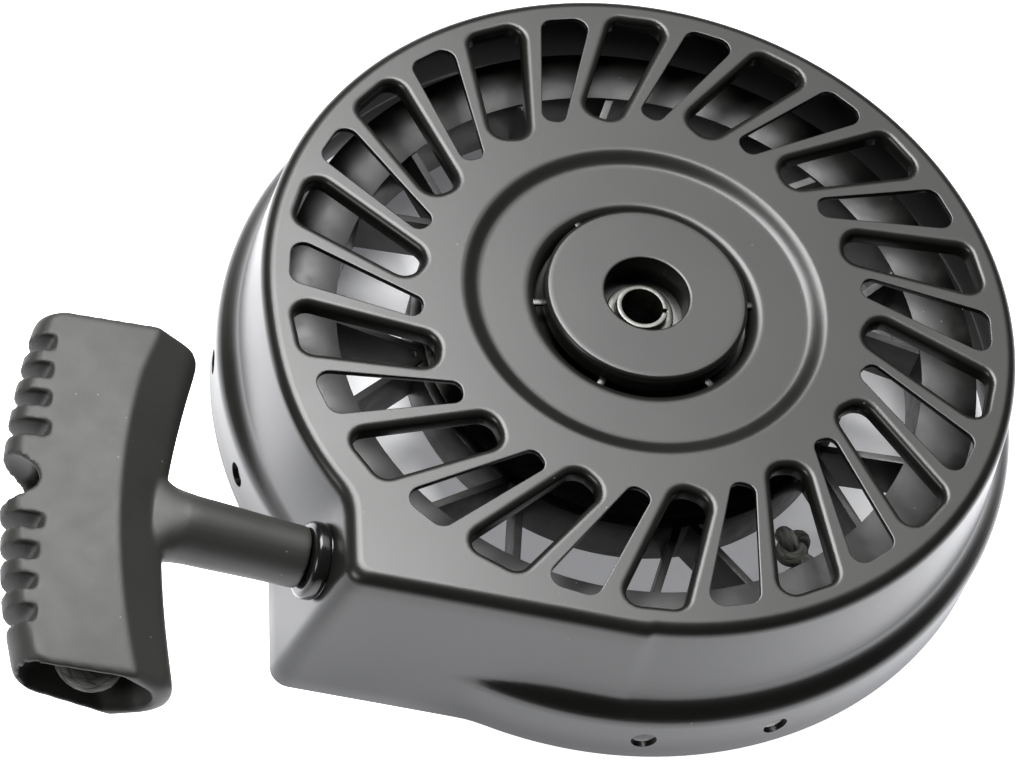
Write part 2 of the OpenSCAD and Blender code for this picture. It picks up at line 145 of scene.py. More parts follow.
def from_points(name, points, edges=(), faces=()):
    """A new piece from points in millimetres."""
    mesh = bpy.data.meshes.new(name)
    mesh.from_pydata([Vector(p) * MM for p in points], edges, faces)
    piece = bpy.data.objects.new(name, mesh)
    bpy.context.scene.collection.objects.link(piece)
    return piece


def lathe(name, profile, steps=96):
    """Spins a closed profile of (radius, height) points in millimetres round the Z axis."""
    count = len(profile)
    rim = [(i, (i + 1) % count) for i in range(count)]
    piece = from_points(name, [(r, 0, z) for r, z in profile], rim)
    edit(piece)
    bpy.ops.mesh.select_all(action="SELECT")
    bpy.ops.mesh.spin(steps=steps, angle=math.tau, center=(0, 0, 0), axis=(0, 0, 1))
    bpy.ops.mesh.select_all(action="SELECT")
    bpy.ops.mesh.remove_doubles(threshold=0.000002)
    bpy.ops.mesh.normals_make_consistent(inside=False)
    done()
    return piece


def bend(centre, radius, start, stop, steps):
    """Points on an arc, for the rounded corner of a profile."""
    return [
        (
            centre[0] + radius * math.cos(math.radians(start + (stop - start) * i / steps)),
            centre[1] + radius * math.sin(math.radians(start + (stop - start) * i / steps)),
        )
        for i in range(steps + 1)
    ]


def settle(piece, matrix=None):
    """Puts a piece where matrix says and writes its place into its mesh."""
    if matrix is not None:
        piece.matrix_world = matrix
    pick(piece)
    bpy.ops.object.transform_apply(location=True, rotation=True, scale=True)


def close_ends(piece):
    """Fills both open ends of a tube and turns every face outwards."""
    edit(piece)
    bpy.ops.mesh.select_mode(type="EDGE")
    bpy.ops.mesh.select_all(action="DESELECT")
    bpy.ops.mesh.select_non_manifold(extend=False)
    bpy.ops.mesh.fill_holes(sides=0)
    bpy.ops.mesh.select_all(action="SELECT")
    bpy.ops.mesh.normals_make_consistent(inside=False)
    done()


def face_up(piece):
    """Turns an open sheet over if its flat top faces down."""
    if sum(p.normal.z for p in piece.data.polygons if p.center.z > (TOP - 0.01) * MM) < 0:
        edit(piece)
        bpy.ops.mesh.select_all(action="SELECT")
        bpy.ops.mesh.flip_normals()
        done()


def block(size, at):
    """A box of this size and place in millimetres, as a start for a tab or a cutter."""
    bpy.ops.mesh.primitive_cube_add(size=1)
    piece = bpy.context.object
    piece.scale = mm(*size)
    piece.location = mm(*at)
    pick(piece)
    bpy.ops.object.transform_apply(location=True, scale=True)
    return piece


def paint(piece, finish, angle=None):
    """Gives a piece its one finish, and shades it smooth up to this angle where one is given."""
    if angle is not None:
        pick(piece)
        bpy.ops.object.shade_smooth_by_angle(angle=math.radians(angle))
    piece.data.materials.clear()
    piece.data.materials.append(finish)


def join(main, *others):
    pick(main)
    for piece in others:
        piece.select_set(True)
    bpy.ops.object.join()
    return main


# %% [markdown]
# ## Finishes
# Satin paint, moulded plastic, braid and plated steel differ in colour only a little. What tells
# them apart is how rough they are and how their surface waves, so each finish is a small recipe
# of noise for colour, roughness and bump, read from the piece's own coordinates in metres.


# %% Material recipes
def new_finish(name):
    material = bpy.data.materials.new(name)
    material.use_nodes = True
    nodes, links = material.node_tree.nodes, material.node_tree.links
    shader = nodes["Principled BSDF"]
    place = nodes.new("ShaderNodeTexCoord")
    return material, nodes, links, shader, place.outputs["Object"]


def noise(nodes, links, where, scale, detail=4, rough=0.55):
    grain = nodes.new("ShaderNodeTexNoise")
    grain.inputs["Scale"].default_value = scale
    grain.inputs["Detail"].default_value = detail
    grain.inputs["Roughness"].default_value = rough
    links.new(where, grain.inputs["Vector"])
    return grain.outputs["Fac"]


def ramp(nodes, links, source, stops):
    """Turns a 0-1 value into colours or greys; stops are (place, colour)."""
    colours = nodes.new("ShaderNodeValToRGB")
    steps = colours.color_ramp.elements
    while len(steps) < len(stops):
        steps.new(0.5)
    for step, (place, colour) in zip(steps, stops):
        step.position = place
        step.color = (*colour, 1) if len(colour) == 3 else (colour[0],) * 3 + (1,)
    links.new(source, colours.inputs["Fac"])
    return colours.outputs["Color"]


def mixed(nodes, links, share, first, second):
    """A colour between first and second; share is a socket, the colours are sockets or tuples."""
    mix = nodes.new("ShaderNodeMix")
    mix.data_type = "RGBA"
    links.new(share, mix.inputs["Factor"])
    for socket, value in ((mix.inputs["A"], first), (mix.inputs["B"], second)):
        if isinstance(value, tuple):
            socket.default_value = (*value, 1)
        else:
            links.new(value, socket)
    return mix.outputs["Result"]


def bumped(nodes, links, shader, height, strength, distance, before=None):
    bump = nodes.new("ShaderNodeBump")
    bump.inputs["Strength"].default_value = strength
    bump.inputs["Distance"].default_value = distance
    links.new(height, bump.inputs["Height"])
    if before is not None:
        links.new(before, bump.inputs["Normal"])
    links.new(bump.outputs["Normal"], shader.inputs["Normal"])
    return bump.outputs["Normal"]


def specks(nodes, links, where, scale, size):
    """1 on a few tiny scattered dots, 0 elsewhere."""
    cells = nodes.new("ShaderNodeTexVoronoi")
    cells.inputs["Scale"].default_value = scale
    links.new(where, cells.inputs["Vector"])
    near = ramp(nodes, links, cells.outputs["Distance"], [(0.0, (1,)), (size, (0,))])
    pickers = nodes.new("ShaderNodeSeparateColor")
    links.new(cells.outputs["Color"], pickers.inputs["Color"])
    few = ramp(nodes, links, pickers.outputs["Red"], [(0.9, (0,)), (0.92, (1,))])
    both = nodes.new("ShaderNodeMath")
    both.operation = "MULTIPLY"
    links.new(near, both.inputs[0])
    links.new(few, both.inputs[1])
    return both.outputs["Value"]


def satin_paint(name, dark, light, rough_low, rough_high):
    material, nodes, links, shader, where = new_finish(name)
    cloud = noise(nodes, links, where, 28, 5)
    colour = ramp(nodes, links, cloud, [(0.3, dark), (0.7, light)])
    dust = specks(nodes, links, where, 240, 0.07)
    links.new(mixed(nodes, links, dust, colour, (0.2, 0.2, 0.19)), shader.inputs["Base Color"])
    grain = noise(nodes, links, where, 900, 3)
    rough = ramp(nodes, links, cloud, [(0.3, (rough_low,)), (0.75, (rough_high,))])
    links.new(rough, shader.inputs["Roughness"])
    peel = bumped(nodes, links, shader, grain, 0.05, 0.0002)
    bumped(nodes, links, shader, dust, 0.3, 0.0001, before=peel)
    shader.inputs["Specular IOR Level"].default_value = 0.5
    return material


def moulded(name, dark, light, rough_low, rough_high, scale=60, bump=0.12):
    material, nodes, links, shader, where = new_finish(name)
    cloud = noise(nodes, links, where, scale, 6, 0.6)
    colour = ramp(nodes, links, cloud, [(0.32, dark), (0.72, light)])
    scuffs = specks(nodes, links, where, 420, 0.1)
    links.new(mixed(nodes, links, scuffs, colour, (0.3, 0.3, 0.28)), shader.inputs["Base Color"])
    wear = noise(nodes, links, where, scale * 2.3, 3)
    rough = ramp(nodes, links, wear, [(0.35, (rough_low,)), (0.7, (rough_high,))])
    links.new(rough, shader.inputs["Roughness"])
    grain = noise(nodes, links, where, 1500, 4)
    fine = bumped(nodes, links, shader, grain, bump, 0.0002)
    bumped(nodes, links, shader, cloud, 0.02, 0.001, before=fine)
    return material


def plated(name, dark, light, rough_low, rough_high):
    material, nodes, links, shader, where = new_finish(name)
    cloud = noise(nodes, links, where, 120, 5)
    links.new(
        ramp(nodes, links, cloud, [(0.3, dark), (0.7, light)]), shader.inputs["Base Color"]
    )
    fine = noise(nodes, links, where, 700, 3)
    rough = ramp(nodes, links, fine, [(0.3, (rough_low,)), (0.7, (rough_high,))])
    links.new(rough, shader.inputs["Roughness"])
    shader.inputs["Metallic"].default_value = 1.0
    bumped(nodes, links, shader, fine, 0.08, 0.0001)
    return material


def braided(name, dark, light, strands=8, step_m=0.0042):
    """A braid that follows the rope's own map: U runs round it, V along it in metres."""
    material, nodes, links, shader, _ = new_finish(name)
    place = nodes.new("ShaderNodeUVMap")
    split = nodes.new("ShaderNodeSeparateXYZ")
    links.new(place.outputs["UV"], split.inputs["Vector"])

    def maths(operation, first, second=0.0):
        node = nodes.new("ShaderNodeMath")
        node.operation = operation
        for socket, value in zip(node.inputs, (first, second)):
            if isinstance(value, (int, float)):
                socket.default_value = value
            else:
                links.new(value, socket)
        return node.outputs["Value"]

    round_it = maths("MULTIPLY", split.outputs["X"], strands)
    along = maths("DIVIDE", split.outputs["Y"], step_m)
    left = maths("ADD", round_it, along)
    right = maths("SUBTRACT", round_it, along)
    ridge_l = maths("ABSOLUTE", maths("SINE", maths("MULTIPLY", left, math.pi)))
    ridge_r = maths("ABSOLUTE", maths("SINE", maths("MULTIPLY", right, math.pi)))
    crossings = maths("ADD", maths("FLOOR", left), maths("FLOOR", right))
    which = maths("FRACT", maths("MULTIPLY", crossings, 0.5))
    over = maths("GREATER_THAN", which, 0.25)
    height = maths(
        "ADD",
        maths("MULTIPLY", ridge_l, over),
        maths("MULTIPLY", ridge_r, maths("SUBTRACT", 1.0, over)),
    )
    fibre = maths("MULTIPLY", maths("SINE", maths("MULTIPLY", left, 40.0)), 0.12)
    tall = maths("ADD", height, fibre)
    # the colour follows the strands' height: darker in the grooves between strands and lighter on their
    # crowns, which is painted shade in the grooves
    colour = ramp(nodes, links, height, [(0.1, dark), (0.9, light)])
    links.new(colour, shader.inputs["Base Color"])
    shader.inputs["Roughness"].default_value = 0.75
    shader.inputs["Sheen Weight"].default_value = 0.25
    bumped(nodes, links, shader, tall, 0.9, 0.0004)
    return material


black_steel = satin_paint("satin_black_paint", (0.009, 0.009, 0.008), (0.013, 0.013, 0.011), 0.28, 0.34)
gloss_ring = satin_paint("gloss_black", (0.006, 0.006, 0.006), (0.01, 0.01, 0.01), 0.14, 0.2)
handle_plastic = moulded("handle_plastic", (0.024, 0.024, 0.0215), (0.028, 0.028, 0.025), 0.5, 0.54)
pulley_plastic = moulded("pulley_plastic", (0.007, 0.007, 0.0065), (0.011, 0.011, 0.01), 0.34, 0.48, 90)
braid = braided("rope_braid", (0.008, 0.008, 0.007), (0.06, 0.06, 0.048))
zinc_steel = plated("zinc_plate", (0.07, 0.07, 0.065), (0.16, 0.16, 0.15), 0.34, 0.5)
spring_steel = plated("spring_steel", (0.16, 0.17, 0.19), (0.27, 0.28, 0.31), 0.28, 0.4)

# %% [markdown]
# ## The pressed cover
# The cover is one sheet of steel, pressed into a dome with a square corner where the rope leaves.
# So it is made as a sheet here too: one skin of faces, given its thickness at the very end. The
# skin's rows follow the outline from the flat face over the rounded edge down to the skirt.

# %% The outline at each height
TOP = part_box("cover_face")[1].z / MM
SKIRT_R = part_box("skirt_plain_4")[1].x / MM
EDGE = 3.0
DOME_TOP_R = 91.4
DOME_BASE_R = 94.0
SHEET = 1.5
CORNER_TOP, CORNER_BASE = Vector((-59.6, -91.5)), Vector((-71.2, -95.5))
WALL_TURN = 0.155


def spout_outline(z, inset):
    """The square corner's outline at height z, moved inwards by inset, as short straight lines."""
    corner = CORNER_TOP.lerp(CORNER_BASE, 1 - z / TOP)
    front = corner.y + inset
    wall_x = corner.x + inset - WALL_TURN * inset
    sharp = Vector((wall_x, front))
    right = Vector((1, 0))
    back = Vector((-WALL_TURN, 1)).normalized()
    radius = 5.0 - 0.5 * inset
    half = right.angle(back) / 2
    reach = radius / math.tan(half)
    centre = sharp + (right + back).normalized() * radius / math.sin(half)
    first, last = sharp + right * reach - centre, sharp + back * reach - centre
    turn = first.angle_signed(last)
    arc = []
    for i in range(13):
        spin = Matrix.Rotation(-turn * i / 12, 2)
        arc.append(centre + spin @ first)
    if (arc[-1] - centre - last).length > 0.01:
        arc = [centre + Matrix.Rotation(turn * i / 12, 2) @ first for i in range(13)]
    return [sharp + right * 75, *arc, sharp + back * 40], math.degrees(math.atan2(sharp.y, sharp.x)) % 360


def reach_along(outline, angle):
    """How far the outline is from the axis in this direction."""
    ray = Vector((math.cos(math.radians(angle)), math.sin(math.radians(angle))))
    best = 0.0
    for a, b in zip(outline, outline[1:]):
        side = b - a
        cross = ray.x * side.y - ray.y * side.x
        if abs(cross) < 1e-9:
            continue
        distance = (a.x * side.y - a.y * side.x) / cross
        share = (a.x * ray.y - a.y * ray.x) / cross
        if distance > 0 and -1e-6 <= share <= 1 + 1e-6:
            best = max(best, distance)
    return best


def smooth_step(x):
    x = min(max(x, 0.0), 1.0)
    return x * x * (3 - 2 * x)


def larger(a, b, soft):
    """The larger of two radii, with the corner between them rounded over."""
    gap = max(soft - abs(a - b), 0.0) / soft
    return max(a, b) + gap * gap * soft / 4


# one row: radius of the round dome, height, how far it is inset from the full outline, bulge
rows = []
for i in range(7):
    lean = math.radians(15 * i)
    rows.append((DOME_TOP_R - EDGE + EDGE * math.sin(lean), TOP - EDGE + EDGE * math.cos(lean),
                 EDGE - EDGE * math.sin(lean), 3.2))
for z in (39, 34, 29, 24.5, 21.5):
    rows.append((DOME_TOP_R + (DOME_BASE_R - DOME_TOP_R) * (TOP - EDGE - z) / 23.6, z, 0, 3.2))
for r, z, bulge in ((94.0, 20.2, 3.1), (94.5, 19.3, 2.9), (95.3, 18.4, 2.5), (96.3, 17.5, 1.9),
                    (97.3, 16.7, 1.2), (98.0, 15.9, 0.6), (98.4, 14.9, 0.2), (98.5, 13.6, 0),
                    (98.5, 9.5, 0), (98.5, 4.5, 0), (98.5, 0, 0)):
    rows.append((r * SKIRT_R / 98.5, z, 0, bulge))

corner_at_top = spout_outline(TOP, EDGE)[1]
columns = []
angle = 190.0
while angle < 276 - 1e-6:
    columns.append(angle)
    near = abs(angle - corner_at_top)
    angle += 0.35 if near < 3.6 else 0.7 if near < 6 else 1.3
columns += [276 + i * 274 / 140 for i in range(140)]
print("cover skin:", len(rows), "rows of", len(columns))


def cover_row(dome_r, z, inset, bulge):
    outline, corner = spout_outline(z, inset)
    points = []
    for column in columns:
        angle = column
        if 190 < column <= corner_at_top:
            angle = 190 + (column - 190) * (corner - 190) / (corner_at_top - 190)
        elif corner_at_top < column < 276:
            angle = 276 - (276 - column) * (276 - corner) / (276 - corner_at_top)
        base = dome_r + bulge * smooth_step((angle - 192) / 36) * (angle < 250)
        wall = reach_along(outline, angle) if 200 < angle < 276 else 0
        radius = larger(base, wall, 3.0 if angle < 232 else 0.8) if wall else base
        points.append((radius * math.cos(math.radians(angle)), radius * math.sin(math.radians(angle)), z))
    return points


# %% [markdown]
# ## The grille
# Twenty-eight slots swirl round the face. Every second one has its edge rolled down, which
# stiffens the sheet, so its outline is drawn a few times, each a little smaller and lower. The
# flat metal between the slots is filled in one go, and an inset gives every edge a narrow band of
# its own that keeps the shading of the flat face flat.

# %% Slot outlines
SLOTS = 28
PITCH = 360 / SLOTS
SLOT_OUT, SLOT_IN, FIRST, SWIRL = 84.9, 54.4, 185.65, 11.1


def polar(r, a):
    return Vector((r * math.cos(math.radians(a)), r * math.sin(math.radians(a))))


def on_circle(p, u, r):
    b = p.dot(u)
    return p + u * (math.sqrt(b * b - p.dot(p) + r * r) - b)


def corner_arc(a, b, c, r, steps=6):
    u, v = (a - b).normalized(), (c - b).normalized()
    half = u.angle(v) / 2
    middle = b + (u + v).normalized() * r / math.sin(half)
    start = b + u * r / math.tan(half) - middle
    side = 1 if u.x * v.y - u.y * v.x > 0 else -1
    sweep = -side * (math.pi - 2 * half)
    arc = []
    for i in range(steps + 1):
        s, c_ = math.sin(sweep * i / steps), math.cos(sweep * i / steps)
        arc.append(middle + Vector((start.x * c_ - start.y * s, start.x * s + start.y * c_)))
    return arc


def slot_outline(k, grow):
    rolled = k % 2 == 1
    wide, narrow = (14.0, 8.5) if rolled else (12.4, 5.5)
    out_mid, in_mid = polar(SLOT_OUT, FIRST - PITCH * k), polar(SLOT_IN, FIRST + SWIRL - PITCH * k)
    u = (out_mid - in_mid).normalized()
    v = Vector((-u.y, u.x))
    wi, wo, start = narrow / 2 + grow, wide / 2 + grow, in_mid - u * grow
    a, b = start + v * wi, start - v * wi
    side_a, side_b = (out_mid + v * wo - a).normalized(), (out_mid - v * wo - b).normalized()
    points = [a, b, on_circle(b, side_b, SLOT_OUT + grow), on_circle(a, side_a, SLOT_OUT + grow)]
    radii = [wi * 0.92, wi * 0.92, 3.2 + grow, 3.2 + grow]
    outline = []
    for i in range(4):
        outline += corner_arc(points[i - 1], points[i], points[(i + 1) % 4], radii[i])
    return outline


# %% The flat face, filled round its slots
HUB_STEP_R = 44.4
points, edges = [], []


def add_ring(ring):
    first = len(points)
    points.extend(ring)
    count = len(ring)
    edges.extend((first + i, first + (i + 1) % count) for i in range(count))


add_ring(cover_row(*rows[0]))
add_ring([(*polar(HUB_STEP_R, 360 * i / 120), TOP) for i in range(120)])
LIP_R = 1.7
for k in range(SLOTS):
    add_ring([(p.x, p.y, TOP) for p in slot_outline(k, LIP_R if k % 2 else 0.0)])
cover = from_points("cover_shell", points, edges)
edit(cover)
bpy.ops.mesh.select_all(action="SELECT")
bpy.ops.mesh.fill(use_beauty=True)
bpy.ops.mesh.select_all(action="SELECT")
bpy.ops.mesh.normals_make_consistent(inside=False)
done()
face_up(cover)
edit(cover)
bpy.ops.mesh.select_all(action="SELECT")
bpy.ops.mesh.inset(thickness=0.35 * MM, depth=0, use_boundary=True, use_even_offset=True)
done()
print("face triangles:", len(cover.data.polygons))


# %% [markdown]
# ## Walls, rolled lips and hub
# The rows of the wall, the rolled lips and the dished hub all start on a ring of the face. Each
# is a strip of four-sided faces from ring to ring, which keeps the highlights running smoothly
# along the pressing. They are joined to the face by merging the points they share.


# %% Strips from ring to ring
def strips(name, rings):
    points = [p for ring in rings for p in ring]
    n = len(rings[0])
    faces = [
        (r * n + i, r * n + (i + 1) % n, (r + 1) * n + (i + 1) % n, (r + 1) * n + i)
        for r in range(len(rings) - 1)
        for i in range(n)
    ]
    return from_points(name, points, [], faces)


wall = strips("wall", [cover_row(*row) for row in rows])
lips = []
for k in range(1, SLOTS, 2):
    rings = []
    for i in range(6):
        lean = math.radians(18 * i)
        z = TOP - LIP_R + LIP_R * math.cos(lean)
        rings.append([(p.x, p.y, z) for p in slot_outline(k, LIP_R - LIP_R * math.sin(lean))])
    rings.append([(p.x, p.y, TOP - SHEET - 2.9) for p in slot_outline(k, 0)])
    lips.append(strips(f"lip_{k}", rings))

RECESS = TOP - 1.8
POCKET_R, STEP_WIDTH = 26.0, 4.8
POCKET_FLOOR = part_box("hub_cap")[0].z / MM
hub_profile = (
    [(HUB_STEP_R - STEP_WIDTH * i / 10, TOP - (TOP - RECESS) * smooth_step(i / 10)) for i in range(11)]
    + [(39.0, RECESS), (29.6, RECESS)]
    + bend((POCKET_R + 3, RECESS - 3), 3, 90, 180, 8)
    + [(POCKET_R, POCKET_FLOOR + 0.8), (POCKET_R - 0.3, POCKET_FLOOR + 0.2), (POCKET_R - 1, POCKET_FLOOR),
       (12, POCKET_FLOOR), (8.1, POCKET_FLOOR)]
)
hub = strips("hub", [[(*polar(r, 360 * i / 120), z) for i in range(120)] for r, z in hub_profile])
join(cover, wall, hub, *lips)
edit(cover)
bpy.ops.mesh.select_all(action="SELECT")
bpy.ops.mesh.remove_doubles(threshold=0.00002)
done()
joined = bmesh.new()
joined.from_mesh(cover.data)
open_edges = sum(1 for e in joined.edges if len(e.link_faces) == 1)
odd_edges = sum(1 for e in joined.edges if len(e.link_faces) > 2)
joined.free()
print("cover skin faces:", len(cover.data.polygons), "open edges:", open_edges, "odd:", odd_edges)

# %% [markdown]
# ## From skin to sheet steel
# Solidify gives the skin its 1.5 mm, inwards, so the outside keeps its measured size. The
# sheared edges then get a small bevel, because a real blanked edge is never knife-sharp, and it is
# that bevel that catches the light. The rivet holes are cut last, with a round bar each.

# %% Thickness, edges and holes
edit(cover)
bpy.ops.mesh.select_all(action="SELECT")
bpy.ops.mesh.normals_make_consistent(inside=False)
done()
face_up(cover)
apply(cover, "SOLIDIFY", thickness=SHEET * MM, offset=-1, use_even_offset=True, use_quality_normals=True)
for vertex in cover.data.vertices:
    vertex.co.z = max(vertex.co.z, 0.0)
edit(cover)
count = choose(
    cover,
    "EDGE",
    lambda e: len(e.link_faces) == 2 and e.calc_face_angle(0) > math.radians(50),
)
bpy.ops.mesh.bevel(offset=0.28 * MM, segments=2, profile=0.6, clamp_overlap=False)
done()
print("sheared edges bevelled:", count)

RIVET_Z, RIVET_R = 8.0, 3.0
FIRST_PAIR, HALF_PAIR = 18.4, 9.4  # degrees: middle of the first pair, and each hole's turn from it
cutters = []
for pair in range(4):
    for side in (-1, 1):
        bpy.ops.mesh.primitive_cylinder_add(vertices=40, radius=RIVET_R * MM, depth=10 * MM)
        cutter = bpy.context.object
        turn = Matrix.Rotation(math.radians(FIRST_PAIR + 90 * pair + HALF_PAIR * side), 4, "Z")
        place = turn @ Matrix.Translation(mm(SKIRT_R, 0, RIVET_Z)) @ Matrix.Rotation(math.pi / 2, 4, "Y")
        settle(cutter, place)
        cutters.append(cutter)
cutter = join(*cutters)
apply(cover, "BOOLEAN", object=cutter, operation="DIFFERENCE", solver="EXACT")
bpy.data.objects.remove(cutter)
skirt_nodes = [node for node in frame["nodes"] if node.startswith("skirt_")]
paint(cover, black_steel, 32)
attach(cover, "cover")
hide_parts("cover_face", "cover_wall", *skirt_nodes)
print("cover faces:", len(cover.data.polygons))

# %% [markdown]
# ## The hub disc
# A thick round disc closes the middle of the cover. It is held by six narrow bridges, and the gaps
# between them are the dark arcs round it. Turning it from a profile gives the soft outer edge.

# %% Turn the disc and add its bridges
CAP_R, HOLE_R, CAP_BOTTOM = 24.5, 10.3, 42.0
TAB_SIZE, FIRST_TAB = (4.0, 1.9, 1.0), 12
CAP_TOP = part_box("hub_cap")[1].z / MM
cap_profile = (
    [(HOLE_R, POCKET_FLOOR), (HOLE_R, CAP_TOP - 0.8), (HOLE_R, CAP_TOP - 0.4),
     (HOLE_R + 0.12, CAP_TOP - 0.12), (HOLE_R + 0.4, CAP_TOP), (HOLE_R + 0.7, CAP_TOP),
     (CAP_R - 2.0, CAP_TOP)]
    + bend((CAP_R - 1.1, CAP_TOP - 1.1), 1.1, 90, 0, 6)
    + [(CAP_R, CAP_TOP - 1.5), (CAP_R, CAP_BOTTOM), (CAP_R - SHEET, CAP_BOTTOM),
       (CAP_R - SHEET, CAP_TOP - 1.6), (HOLE_R + SHEET, CAP_TOP - 1.6), (HOLE_R + SHEET, POCKET_FLOOR)]
)
cap = lathe("hub_disc", cap_profile, 128)
tabs = []
for i in range(6):
    tab = block(TAB_SIZE, (25.0, 0, CAP_BOTTOM + 0.4))
    soften(tab, 0.35, 30, 2)
    settle(tab, Matrix.Rotation(math.radians(FIRST_TAB + 60 * i), 4, "Z"))
    tabs.append(tab)
join(cap, *tabs)
paint(cap, black_steel, 35)
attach(cap, "cover")
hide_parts("hub_cap")
print("hub disc faces:", len(cap.data.polygons))

# %% [markdown]
# ## The rope eyelet
# The rope rubs on the cover each time it is pulled, so a smooth glossy ring lines the hole. Its
# axis stands square to the corner's sloping wall.

# %% Turn the eyelet and set it in the wall
pull = Vector(frame["joints"][0]["axis"])
WALL_OUT = Vector((-0.95527, -0.14807, 0.25600)).normalized()
EYE = mm(-65.928, -79.012, 29.520)


def looking_along(direction, at):
    return Matrix.Translation(at) @ direction.to_track_quat("Z", "Y").to_matrix().to_4x4()


eyelet_profile = (
    [(3.0, -3.2), (7.9, -3.2), (7.9, -2.0), (6.0, -2.0), (6.0, 0.02), (8.4, 0.02)]
    + bend((7.7, 1.3), 1.3, -60, 0, 5)
    + bend((7.5, 2.5), 1.5, 0, 90, 8)
    + [(6.8, 4.0), (4.4, 4.0), (3.6, 3.7), (3.1, 3.0), (3.0, 1.4)]
)
eyelet = lathe("eyelet_ring", eyelet_profile, 64)
settle(eyelet, looking_along(WALL_OUT, EYE))
paint(eyelet, gloss_ring, 40)
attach(eyelet, "cover")
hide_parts("rope_eyelet")
print("eyelet faces:", len(eyelet.data.polygons))

# %% [markdown]
# ## The T-handle
# The grip is a hollow moulded bar with a wedge section: a flat top that meets the finger side in
# a soft crease, and a row of finger lobes along its back. It is made from rings of points along
# the bar, then the notches, the hollow and the stem are cut and joined, and a fine voxel remesh
# melts everything into one skin with the small fillets that a moulding has.

# %% The bar's section along its length
BAR_HALF = 45.5
RISE_SIN, RISE_COS = 0.2233, 0.975


def handle_frame():
    """X along the pull, Y along the bar towards its open near end, Z up."""
    flat = math.atan2(pull.y, pull.x)
    rise = math.asin(pull.z)
    return Matrix.Translation(EYE) @ Matrix.Rotation(flat, 4, "Z") @ Matrix.Rotation(-rise, 4, "Y")


def bar_ring(y, grow=0.0, corner=0.0):
    """One section of the bar at y: nose, crease, flat top, rounded back, and the same below."""
    far = min(abs(y) / BAR_HALF, 1.0)
    turn_in = max(abs(y) - 41.0, 0.0)
    nose = 37.5 - 6.0 * far ** 1.6 - 0.022 * y + 0.8 * corner + 0.06 * turn_in ** 1.9
    crease = 49.9 - 0.00297 * y * y - 0.044 * y - 1.0 * smooth_step((-y - 30) / 14)
    back = 74.8 - 0.00233 * (y + 8) ** 2 - corner * 0.6
    back -= 0.7 * smooth_step((y - 2) / 10) + 1.0 * smooth_step((y - 28) / 14)
    ball = 4.6 + 2.6 * far ** 2
    heel = 4.6
    top = 9.6
    tail = (20.5 - RISE_SIN * (back - heel)) / RISE_COS
    away = Vector((crease - nose - ball, top))
    tangent = away.angle(Vector((-1, 0))) - math.acos(ball / away.length)
    half = []
    for i in range(6):
        a = math.pi - tangent * i / 5
        half.append((nose + ball + ball * math.cos(a), ball * math.sin(a)))
    for i in range(1, 4):
        last = half[5]
        half.append((last[0] + (crease - last[0]) * i / 3, last[1] + (top - last[1]) * i / 3))
    for i in range(1, 7):
        share = i / 6
        half.append((crease + (back - heel - crease) * share, top + (tail - top) * share))
    for i in range(1, 6):
        a = math.radians(90 - 90 * i / 5)
        half.append((back - heel + heel * math.cos(a), tail * math.sin(a)))
    ring = half + [(s, -z) for s, z in reversed(half[1:-1])]
    middle = (nose + back) / 2
    shrink = 1 - grow
    return [(middle + (s - middle) * shrink, y, z * shrink) for s, z in ring]


def closed_loft(name, rings):
    piece = strips(name, rings)
    close_ends(piece)
    return piece


# one station: place along the bar, how much smaller the section is, and how far its corners draw in
end_stations = [(42.5, 0, 0.1), (44, 0, 0.6), (45.0, 0.03, 1.6), (BAR_HALF, 0.06, 3.0)]
stations = [(-y, grow, corner) for y, grow, corner in reversed(end_stations)]
stations += [(-40 + 4 * i, 0, 0) for i in range(21)]
stations += end_stations
bar = closed_loft("grip", [bar_ring(y, grow, corner) for y, grow, corner in stations])
print("bar rings:", len(stations))


# %% Cut the notches, the hollow and the thumb hole, and add the stem
MID_S = 57
hollow = []
for y in [-46.5, -44.5, -41, -38.5] + [-36 + 8 * i for i in range(10)] + [38.5, 41, 44.5, 46.5]:
    ring = bar_ring(min(max(y, -44), 44))
    open_end = smooth_step((abs(y) - 37) / 4)
    flare = 1.0 + 0.06 * (abs(y) > 44)
    deep = 0.5 + 0.29 * open_end
    tall = 0.64 + 0.14 * open_end
    hollow.append(
        [
            (MID_S + (s - MID_S) * (deep if s > MID_S else 0.78) * flare, y, z * tall * flare)
            for s, _, z in ring
        ]
    )
cut = closed_loft("hollow", hollow)
NOTCHES = (11.8, 19.5, 27.2, 34.8)
NOTCH_SIZE = (10, 3.6, 30)
cuts = []
for y in NOTCHES:
    for side, deepest, shift in ((-1, 8.2, 1.7), (1, 7.5, 1.2)):
        rear = max(p[0] for p in bar_ring(side * y))
        depth = deepest - 0.12 * (y - NOTCHES[0])
        notch = block(NOTCH_SIZE, (rear - depth + NOTCH_SIZE[0] / 2, side * y - shift, 0))
        soften(notch, 0.4, 30, 2)
        cuts.append(notch)
bpy.ops.mesh.primitive_uv_sphere_add(segments=32, ring_count=16, radius=1)
thumb = bpy.context.object
thumb.scale = mm(10.0, 6.4, 8.6)
thumb.location = mm(75.6, -0.4, 0)
pick(thumb)
bpy.ops.object.transform_apply(location=True, scale=True)
cuts.append(thumb)

window = block((18, 8.6, 8.0), (66, -0.4, 0))
soften(window, 1.8, 30, 3)
cuts.append(window)

stem_profile = [(0, 4.2), (6.9, 4.2), (7.15, 4.5), (7.2, 5.6), (7.35, 14), (7.7, 24), (7.9, 31),
                (8.3, 33.5), (9.3, 36), (11.2, 38.2), (14.5, 40.5), (14.5, 46), (0, 46)]
stem = lathe("stem", stem_profile, 64)
settle(stem, Matrix.Rotation(math.pi / 2, 4, "Y"))
